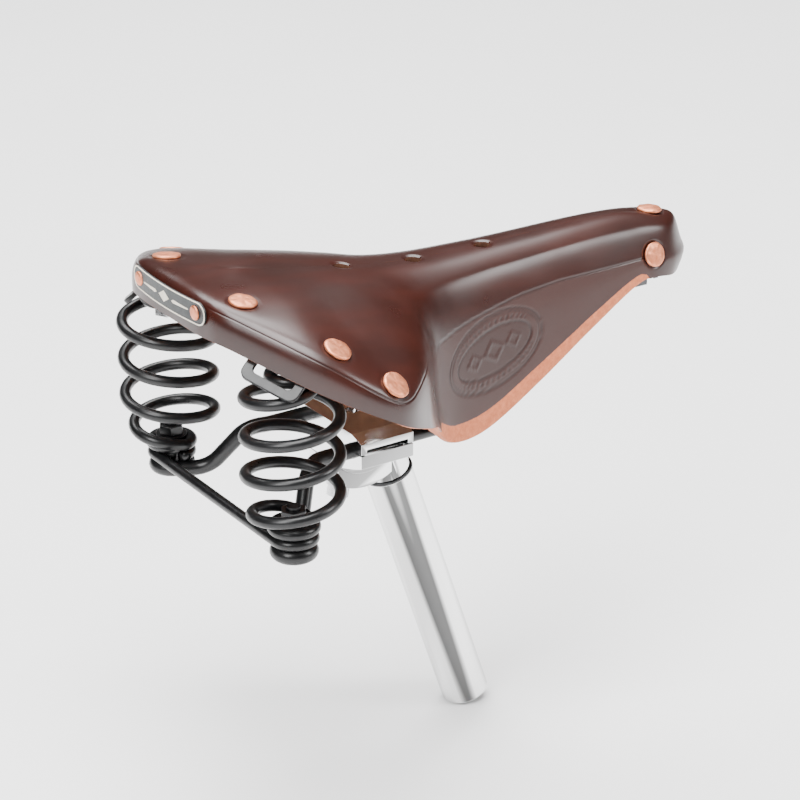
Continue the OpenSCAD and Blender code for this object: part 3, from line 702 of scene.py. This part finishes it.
def leather_relief(us, ts, outer):
    """Lift of the outer points in mm, and the masks that the leather's material reads."""
    u, t = np.abs(us)[:, None], ts[None, :]
    mm_per_t = np.linalg.norm(np.gradient(outer, axis=1), axis=2) / np.gradient(ts)[None, :]
    lift = wrinkles(outer)
    # painted_shade marks where the leather is painted darker as painted shade: in the crease and seam
    # grooves, the emblem's cuts and sunk centre, and in a ring round each rivet head.
    painted_shade = np.zeros(outer.shape[:2])

    crease, here = (t - np.interp(u, *CREASE)) * mm_per_t, within(CREASE_SPAN, u)
    lift -= 0.28 * groove(crease, GROOVE_W) * here
    lift -= 0.12 * smoothstep(-0.5, 2.5, crease) * here
    painted_shade = np.maximum(painted_shade, 0.45 * groove(crease, SHADE_W) * here)

    seam, here = (t - np.interp(u, *SEAM)) * mm_per_t, within(SEAM_SPAN, u)
    lift -= 0.32 * groove(seam, GROOVE_W) * here
    lift -= 0.18 * smoothstep(-0.4, 1.6, seam) * here
    painted_shade = np.maximum(painted_shade, 0.5 * groove(seam, SHADE_W) * here)
    flap = here * smoothstep(-0.5, 1.5, seam)

    relief, depth = emblem_relief(outer)
    here = within(EMBLEM_SPAN, u) * (t > EMBLEM_TOP)
    lift += relief * here
    painted_shade = np.maximum(painted_shade, 0.75 * depth * here)

    for centre, r, seat_depth in rivet_seats():
        away = np.linalg.norm(outer - centre, axis=2)
        lift -= seat_depth * smoothstep(r + SEAT_RIM, r + 0.1, away)
        painted_shade = np.maximum(painted_shade, 0.6 * groove(away - r - 0.1, SHADE_W))
    for x in VENTS_X:
        away = np.hypot(outer[..., 0] - x, outer[..., 1])
        lift -= VENT_DIP * smoothstep(VENT_R + VENT_LIP, VENT_R - 0.3, away) * (t < 0.4)

    strip_t = np.interp(u, *STRIP, left=1.0, right=1.0)
    on_strip = (t > strip_t) & (strip_t < 0.995)
    lift -= CHAMFER * np.clip((t - strip_t) / np.maximum(1 - strip_t, 0.02), 0, 1) * on_strip
    lift -= 0.7 * smoothstep(0.97, 1, t) ** 2 * ~on_strip
    bare = np.clip((t - np.minimum(strip_t, RAW_EDGE)) * mm_per_t, -3, 3)
    # The "groove" mask carries the painted shade.
    return lift, {"flap": flap, "groove": painted_shade, "bare": bare}


def cut_edge(us, outer, inner):
    """Three rows of points round the cut bottom edge, slightly uneven along it."""
    raised = [0, 0, 0.4]
    low = (outer + inner) / 2 - [0, 0, 0.55] + 0.12 * np.sin(us * 47)[:, None] * [0, 0, 1]
    near, far = 0.75 * outer + 0.25 * inner - raised, 0.25 * outer + 0.75 * inner - raised
    return np.stack([near, low, far], 1)


def leather_shell(us, columns, outer_rows):
    """Points, faces and material slots of the closed shell; both halves share the spine's points."""
    count, height = columns.shape[:2]
    half = count // 2
    points = columns.reshape(-1, 3)
    spine_out = len(points) + np.minimum(np.arange(count), count - np.arange(count))
    spine_in = spine_out + half + 1
    spine = [surface(u, 0, depth) for depth in (0, LEATHER_T) for u in us[:half + 1]]
    points = np.concatenate([points, spine])

    faces = []
    for k in range(count):
        n = (k + 1) % count
        faces.append((0, (spine_out[k], k * height, n * height, spine_out[n])))
        for j in range(height - 1):
            a, b = k * height + j, n * height + j
            slot = 0 if j < outer_rows - 1 else 1 if j < outer_rows + 3 else 2
            faces.append((slot, (a, a + 1, b + 1, b)))
        faces.append((2, (k * height + height - 1, spine_in[k], spine_in[n], n * height + height - 1)))
    faces = [(slot, tuple(dict.fromkeys(int(i) for i in face))) for slot, face in faces]
    faces = [(slot, face) for slot, face in faces if len(face) > 2]
    return points, [face for _, face in faces], [slot for slot, _ in faces]


def store_mask(obj, name, values, height):
    """Stores the outer sheet's mask on the shell's points, as 0 everywhere else."""
    table = np.zeros((len(values), height), np.float32)
    table[:, :values.shape[1] - 1] = values[:, 1:]
    full = np.zeros(len(obj.data.vertices), np.float32)
    full[:table.size] = table.ravel()
    obj.data.attributes.new(name, "FLOAT", "POINT").data.foreach_set("value", full)


def leather_top():
    us = leather_stations()
    share = 1
    crown = np.linspace(0, 0.5, int(40 * share), endpoint=False)
    wall = np.linspace(0.5, 1, int(110 * share))
    ts = np.concatenate([crown, wall])
    outer = sheet(us, ts, 0)
    inner = sheet(us, np.linspace(1, 0, int(46 * share)), LEATHER_T)
    lift, masks = leather_relief(us, ts, outer)
    outer = outer + lift[..., None] * sheet_normals(outer)
    edge = cut_edge(us, outer[:, -1], inner[:, 0])
    columns = np.concatenate([outer[:, 1:], edge, inner[:, :-1]], 1)

    points, faces, slots = leather_shell(us, columns, outer.shape[1] - 1)
    obj = mesh_object("leather_cover", points, faces, [LEATHER, RAW, SUEDE], angle=50)
    obj.data.polygons.foreach_set("material_index", slots)
    for name, values in masks.items():
        store_mask(obj, name, values, columns.shape[1])
    outward_faces(obj)
    punch_vents(obj)
    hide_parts("leather_top")
    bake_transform(obj, "top", "nose", start=to_row([185, 0, 80]).tolist(), end=to_row([240, 0, 80]).tolist())


def punch_vents(obj):
    """Cuts the vents, whose walls are painted darker as painted shade inside the holes, and rough."""
    profile = [(VENT_R, 80), (VENT_R, 86), (VENT_R * 1.01, 90), (VENT_R, 94), (VENT_R, 110)]
    parts = [lathe(profile, 40, lambda p, x=x: p + [x, 0, 0]) for x in VENTS_X]
    punch = mesh_object("vent_punch", *joined(parts), [PUNCHED])
    outward_faces(punch)
    cut = obj.modifiers.new("vents", "BOOLEAN")
    cut.operation = "DIFFERENCE"
    cut.object = punch
    cut.solver = "EXACT"
    cut.material_mode = "TRANSFER"
    evaluated = obj.evaluated_get(bpy.context.evaluated_depsgraph_get())
    mesh = bpy.data.meshes.new_from_object(evaluated)
    obj.modifiers.clear()
    obj.data = mesh
    bpy.data.objects.remove(punch)


# ---------------------------------------------------------------- rivets
HEAD_H, SHANK_R, GRIP = 1.2, 2.4, 9.8


def rivet_profile(head_r):
    """Profile of a hammered rivet: burr at the back, shank, domed head."""
    back = -GRIP
    return [(0.6, back - 1.0), (SHANK_R + 0.7, back - 1.0), (SHANK_R + 1.2, back - 0.7),
            (SHANK_R + 1.2, back + 0.2), (SHANK_R, back + 0.3), (SHANK_R, -0.5), (head_r - 0.3, -0.4),
            (head_r, -0.05), (head_r, HEAD_H * 0.45), (head_r - 0.35, HEAD_H * 0.8),
            (head_r * 0.8, HEAD_H * 0.98), (head_r * 0.45, HEAD_H * 1.05), (0.4, HEAD_H * 1.06)]


def rivet(name, u, t, sign, head_r, lift, body):
    """Rivet at station u and fraction t, mirrored where sign is -1, with an uneven head."""
    origin = surface(u, t)
    z = normal_at(u, t)
    x = unit(np.cross([0, 1, 0], z))
    turn = np.array([x, np.cross(z, x), z])
    seed = u * 3.1 + sign

    def place(p):
        a = math.atan2(p[1], p[0])
        dent = 0.05 * math.sin(3 * a + seed) + 0.04 * math.sin(7 * a + 2 * seed)
        r = 1 + dent * 0.25 * (np.hypot(p[0], p[1]) > 3.5)
        q = np.array([p[0] * r, p[1] * r, p[2] + (dent if p[2] > 0.6 else 0)])
        return (origin + (q + [0, 0, lift]) @ turn) * [1, sign, 1]

    obj = mesh_object(name, *lathe(rivet_profile(head_r), 40, place), [COPPER], angle=50)
    outward_faces(obj)
    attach(obj, body)
    return obj


def rivets():
    for i, (u, t) in enumerate(REAR_RIVETS):
        for side, sign in SIDES:
            rivet(f"rear_rivet_{side}_{i + 1}", u, t, sign, REAR_HEAD_R, 0.0, "top")
    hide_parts("rear_rivets")
    for i, (u, t) in enumerate(NOSE_RIVETS):
        sign = 1 if u > 0 else -1
        rivet(f"nose_rivet_{i + 1}", abs(u), t, sign, NOSE_HEAD_R, 0.1, "nose")
    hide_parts("nose_rivets")


# ---------------------------------------------------------------- badge
BADGE_R, BADGE_CENTRE_X, BADGE_Z, BADGE_H = 190.0, 188.5, 103.5, 10.2
BADGE_HALF = BADGE_R * math.sin(math.radians(9)) + 0.1
BADGE_RIVET_Y = 23.5
# Inset from the outline and height over the back: the plate's edge, then the raised cream border
BADGE_PROFILE = [(0.0, 0.0), (0.0, 0.85), (0.15, 1.0), (0.55, 1.0), (0.65, 0.85), (0.8, 0.85)]
BADGE_RIVET_PROFILE = [(0.6, -4.8), (1.4, -4.6), (1.4, 0.8), (3.1, 0.85),
                       (3.15, 1.2), (2.9, 1.6), (1.8, 1.85), (0.4, 1.9)]
LOZENGE = [(-4.2, 0), (0, 2.5), (4.2, 0), (0, -2.5)]
BAR = [(6.2, 0), (7.6, 0.75), (18.0, 0.3), (18.8, 0), (18.0, -0.3), (7.6, -0.75)]
MARK_LAYERS = ((0.8, 1.0), (1.0, 1.0), (1.08, 0.86))  # height over the back, share of the outline


def on_badge(y, z, height):
    """Point of the plate, which is bent to an arc seen from above."""
    a = y / BADGE_R
    r = BADGE_R + height
    return np.array([BADGE_CENTRE_X - r * math.cos(a), r * math.sin(a), BADGE_Z + z])


def badge_outline(inset, steps=10, middle=24):
    """Upper and lower half of the rounded outline, point by point."""
    half, h = BADGE_HALF - inset, BADGE_H / 2 - inset
    r = max(h * 0.92, 0.3)
    upper = []
    for k in range(steps + 1):
        a = math.pi - k * math.pi / 2 / steps
        upper.append((-half + r + r * math.cos(a), h - r + r * math.sin(a)))
    for k in range(1, middle):
        upper.append((-half + r + (2 * half - 2 * r) * k / middle, h))
    for k in range(steps + 1):
        a = math.pi / 2 - k * math.pi / 2 / steps
        upper.append((half - r + r * math.cos(a), h - r + r * math.sin(a)))
    return upper, [(y, -z) for y, z in upper]


def badge():
    points, faces, slots = [], [], []
    for inset, height in BADGE_PROFILE:
        upper, lower = badge_outline(inset)
        ring = upper + lower[::-1]
        points += [on_badge(y, z, height) for y, z in ring]
    n = len(ring)
    last = len(BADGE_PROFILE) - 1
    for i in range(last):
        for k in range(n):
            a, b = i * n + k, i * n + (k + 1) % n
            faces.append((a, b, b + n, a + n))
            slots.append(1 if i in (1, 2, 3) else 0)
    base = last * n
    for start in (0, base):
        for k in range(n // 2 - 1):
            faces.append((start + k, start + k + 1, start + n - 2 - k, start + n - 1 - k))
            slots.append(0)
    obj = mesh_object("badge", points, faces, [BADGE_DARK, BADGE_CREAM], angle=35)
    obj.data.polygons.foreach_set("material_index", slots)
    outward_faces(obj)
    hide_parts("badge_plate")
    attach(obj, "top")
    for name, shape in badge_marks():
        mark = badge_relief(name, shape)
        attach(mark, "top")


def badge_marks():
    """A lozenge between two tapered bars: a plain ornament with no lettering."""
    yield "badge_lozenge", LOZENGE
    for side, sign in SIDES:
        yield f"badge_bar_{side}", [(y * sign, z) for y, z in BAR]


def badge_relief(name, shape):
    middle = np.mean(shape, axis=0)
    points = []
    for height, share in MARK_LAYERS:
        points += [on_badge(*(middle + (np.array(p) - middle) * share), height) for p in shape]
    n, last = len(shape), len(MARK_LAYERS) - 1
    faces = [tuple(range(n)), tuple(range(last * n, (last + 1) * n))]
    for i in range(last):
        for k in range(n):
            a, b = i * n + k, i * n + (k + 1) % n
            faces.append((a, b, b + n, a + n))
    obj = mesh_object(name, points, faces, [BADGE_CREAM], angle=25)
    outward_faces(obj)
    return obj


def badge_rivets():
    for i, (_, sign) in enumerate(SIDES):
        centre = on_badge(BADGE_RIVET_Y * sign, 0, 0)
        shape = lathe(BADGE_RIVET_PROFILE, 32, lambda p, centre=centre: centre + [-p[2], p[0], p[1]])
        obj = mesh_object(f"badge_rivet_{i + 1}", *shape, [COPPER], angle=50)
        outward_faces(obj)
        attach(obj, "top")
        if i == 0:
            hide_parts("badge_rivets")


# ---------------------------------------------------------------- wire parts
SPRING_BASE_Z, SPRING_TOP_Z = 11.1, 79.9
END_COIL_R, COIL_R, SPRING_WIRE_R = 8.9, 19.8, 2.6
SPRING_TURNS, FLAT_TURN, SWELL = 4.0, 0.92, 0.62


def coil_point(q, phase):
    """Middle of the spring wire after q turns, from -FLAT_TURN to SPRING_TURNS + FLAT_TURN."""
    wide = smoothstep(0, SWELL, q) * smoothstep(0, SWELL, SPRING_TURNS - q)
    r = END_COIL_R + (COIL_R - END_COIL_R) * wide
    z = SPRING_BASE_Z + (SPRING_TOP_Z - SPRING_BASE_Z) * min(max(q / SPRING_TURNS, 0), 1)
    a = math.radians(phase - 360 * q)
    return [SPRING_X + r * math.cos(a), SPRING_Y + r * math.sin(a), z]


def spring(side, sign, phase):
    steps = 64
    count = round((SPRING_TURNS + 2 * FLAT_TURN) * steps)
    turns = np.linspace(-FLAT_TURN, SPRING_TURNS + FLAT_TURN, count + 1)
    path = np.array([coil_point(q, phase) for q in turns]) * [1, sign, 1]
    obj = tube(f"coil_spring_{side}", path, SPRING_WIRE_R, BLACK)
    outward_faces(obj)
    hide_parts(f"spring_{side}")
    low = to_row([SPRING_X, 0, SPRING_BASE_Z + SPRING_WIRE_R])
    high = to_row([SPRING_X, 0, SPRING_TOP_Z - SPRING_WIRE_R])
    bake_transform(obj, "frame", "top", start=low.tolist(), end=high.tolist())


def rounded(points, radius, steps):
    """Points of the line with its corners rounded."""
    p = [np.array(q, float) for q in points]
    path = [p[0]]
    for i in range(1, len(p) - 1):
        d, e = unit(p[i] - p[i - 1]), unit(p[i + 1] - p[i])
        side = unit(e - (e @ d) * d)
        turn = math.acos(max(-1, min(1, float(d @ e))))
        start = p[i] - radius * math.tan(turn / 2) * d
        for k in range(steps + 1):
            a = turn * k / steps
            path.append(start + radius * (math.sin(a) * d + (1 - math.cos(a)) * side))
    path.append(p[-1])
    return path


def even(path, spacing=1.5):
    """The same line with points about spacing apart."""
    path = np.asarray(path, float)
    lengths = np.concatenate([[0], np.cumsum(np.linalg.norm(np.diff(path, axis=0), axis=1))])
    at = np.linspace(0, lengths[-1], max(int(lengths[-1] / spacing), 2))
    return np.stack([np.interp(at, lengths, path[:, k]) for k in range(3)], 1)


EYE_R, EYE_TURN, EYE_STEPS = 7.0, math.radians(262), 60
CROSS_WIRE_R = 2.5
BEND_R = 14


def eye(radius, end, z):
    """Open loop round the spring's axis, up to the angle end."""
    points = []
    for k in range(EYE_STEPS + 1):
        a = end - EYE_TURN * (1 - k / EYE_STEPS)
        points.append((SPRING_X + radius * math.cos(a), SPRING_Y + radius * math.sin(a), z))
    return points


def rail_path():
    """Eye round the spring bolt, then forward through the clamp and up to the nose."""
    bend_1 = (SPRING_X + 11.1, SPRING_Y - 13.5, 0)
    bend_2 = (SPRING_X + 24, RAIL_Y + 3, RAIL_Z)
    dx, dy = bend_1[0] - SPRING_X, bend_1[1] - SPRING_Y
    loop = eye(EYE_R, math.atan2(dy, dx) - math.acos(EYE_R / math.hypot(dx, dy)), 0)
    straight = [(SPRING_X + 31, RAIL_Y, RAIL_Z), (CLAMP_X + 34, RAIL_Y, RAIL_Z)]
    route = [loop[-1], bend_1, bend_2, *straight, (PIN_X - 17.9, 9, PIN_Z + 1.5)]
    return np.array(loop + rounded(route, BEND_R, 12)[1:])


def rails():
    for side, sign in SIDES:
        obj = tube(f"rail_bar_{side}", even(rail_path()) * [1, sign, 1], RAIL_R, BLACK, 24)
        outward_faces(obj)
        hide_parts(f"rail_{side}")
        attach(obj, "frame")


def cross_wire():
    """Wire from one spring base to the other, with an eye round each bolt."""
    loop = eye(END_COIL_R - 0.5, math.pi, RAIL_R + CROSS_WIRE_R)
    route = loop + [(x, -y, z) for x, y, z in reversed(loop)]
    obj = tube("cross_wire_bar", even(route), CROSS_WIRE_R, BLACK, 24)
    outward_faces(obj)
    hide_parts("cross_wire")
    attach(obj, "frame")


# ---------------------------------------------------------------- everything from the CAD nodes
# Nodes, material, edge rounding in mm, material slot
FINISHES = [
    (("bag_loop_left", "bag_loop_right"), BLACK, 0.45, "black_steel"),
    (("base_bolts", "base_washers", "base_nuts"), BLACK, 0.3, "black_steel"),
    (("cantle_plate", "nose_plate"), PRESSED, 0.0, "plate_steel"),
    (("spring_bridge", "shackle", "rail_yoke"), PRESSED, 0.5, "plate_steel"),
    (("top_bolts", "top_nuts", "tension_bolt", "tension_nut", "shackle_pin"), BRIGHT, 0.3, "bright_steel"),
    (("clamp_bolt", "clamp_washer"), BRIGHT, 0.3, "bright_steel"),
    (("clamp_upper", "clamp_lower"), ALLOY, 0.6, "chrome"),
    (("post_head", "post_tube"), ALLOY, 0.4, "chrome"),
    (("post_ring",), RING_BLACK, 0.2, "ring"),
]


def cad_pieces():
    for nodes, material, bevel, slot in FINISHES:
        for node in nodes:
            refined(node, material, bevel)


# ---------------------------------------------------------------- stage
CAMERA_TURN, CAMERA_RISE = math.radians(33.6), math.radians(23.62)
CAMERA_DISTANCE = 1.20107
CAMERA_TARGET = Vector((0.006574, 0, 0.03318))
CAMERA_LENS = 120.96
FLOOR_HALF = 6  # metres
# Height above the horizon as a fraction, and how bright the studio is there
SKY = ((0.0, 0.14), (0.3, 0.07), (0.5, 0.12), (0.75, 0.5), (1.0, 1.2))
LIGHT_TARGET = Vector((0, 0, 0.04))
# Name, place and size in metres, power in watts
LIGHTS = [
    ("overhead", (-0.2, -0.2, 2.0), (1.2, 1.6), 95),
    ("side", (1.6, -1.5, 1.3), (0.7, 1.3), 40),
    ("rear", (-1.6, -0.7, 1.4), (0.9, 1.2), 45),
    ("back", (0.4, 1.6, 2.6), (2.8, 1.2), 130),
]


def floor():
    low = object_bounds()[0].z
    n = Nodes("pale_floor", (0.9, 0.9, 0.9), 0.75)
    n.color(n.mix(n.spread(n.noise(3, 3), 0.4, 0.6), (0.89, 0.89, 0.89), (0.91, 0.91, 0.91)))
    mesh = bpy.data.meshes.new("floor")
    corner_signs = ((-1, -1), (1, -1), (1, 1), (-1, 1))
    mesh.from_pydata([(x * FLOOR_HALF, y * FLOOR_HALF, low) for x, y in corner_signs], [], [(0, 1, 2, 3)])
    finished("floor", mesh, [n.material])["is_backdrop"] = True


def light(name, position, size, power):
    data = bpy.data.lights.new(name, "AREA")
    data.shape = "RECTANGLE"
    data.size, data.size_y = size
    data.energy = power
    obj = bpy.data.objects.new(name, data)
    obj.location = position
    obj.rotation_mode = "QUATERNION"
    obj.rotation_quaternion = (LIGHT_TARGET - Vector(position)).to_track_quat("-Z", "Y")
    bpy.context.scene.collection.objects.link(obj)


def studio():
    """Bright overhead and dim lower down, so that polished parts show soft contrast."""
    world = bpy.data.worlds.new("studio")
    bpy.context.scene.world = world
    world.use_nodes = True
    tree = world.node_tree
    sky = tree.nodes["Background"]
    sky.inputs["Strength"].default_value = 1.0
    coords = tree.nodes.new("ShaderNodeTexCoord")
    split = tree.nodes.new("ShaderNodeSeparateXYZ")
    ramp = tree.nodes.new("ShaderNodeValToRGB")
    tree.links.new(coords.outputs["Generated"], split.inputs["Vector"])
    tree.links.new(split.outputs["Z"], ramp.inputs["Fac"])
    tree.links.new(ramp.outputs["Color"], sky.inputs["Color"])
    fill_ramp(ramp.color_ramp, SKY)
    for settings in LIGHTS:
        light(*settings)


def camera():
    data = bpy.data.cameras.new("camera")
    data.lens = CAMERA_LENS
    data.sensor_width = 36
    data.clip_start = 0.05
    obj = bpy.data.objects.new("camera", data)
    flat = math.cos(CAMERA_RISE)
    forward = Vector((math.sin(CAMERA_TURN) * flat, math.cos(CAMERA_TURN) * flat, -math.sin(CAMERA_RISE)))
    obj.location = CAMERA_TARGET - forward * CAMERA_DISTANCE
    obj.rotation_mode = "QUATERNION"
    obj.rotation_quaternion = forward.to_track_quat("-Z", "Y")
    bpy.context.scene.collection.objects.link(obj)
    bpy.context.scene.camera = obj


leather_top()
rivets()
badge()
badge_rivets()
spring("left", 1, 285)
spring("right", -1, 0)
rails()
cross_wire()
cad_pieces()
floor()
studio()
camera()
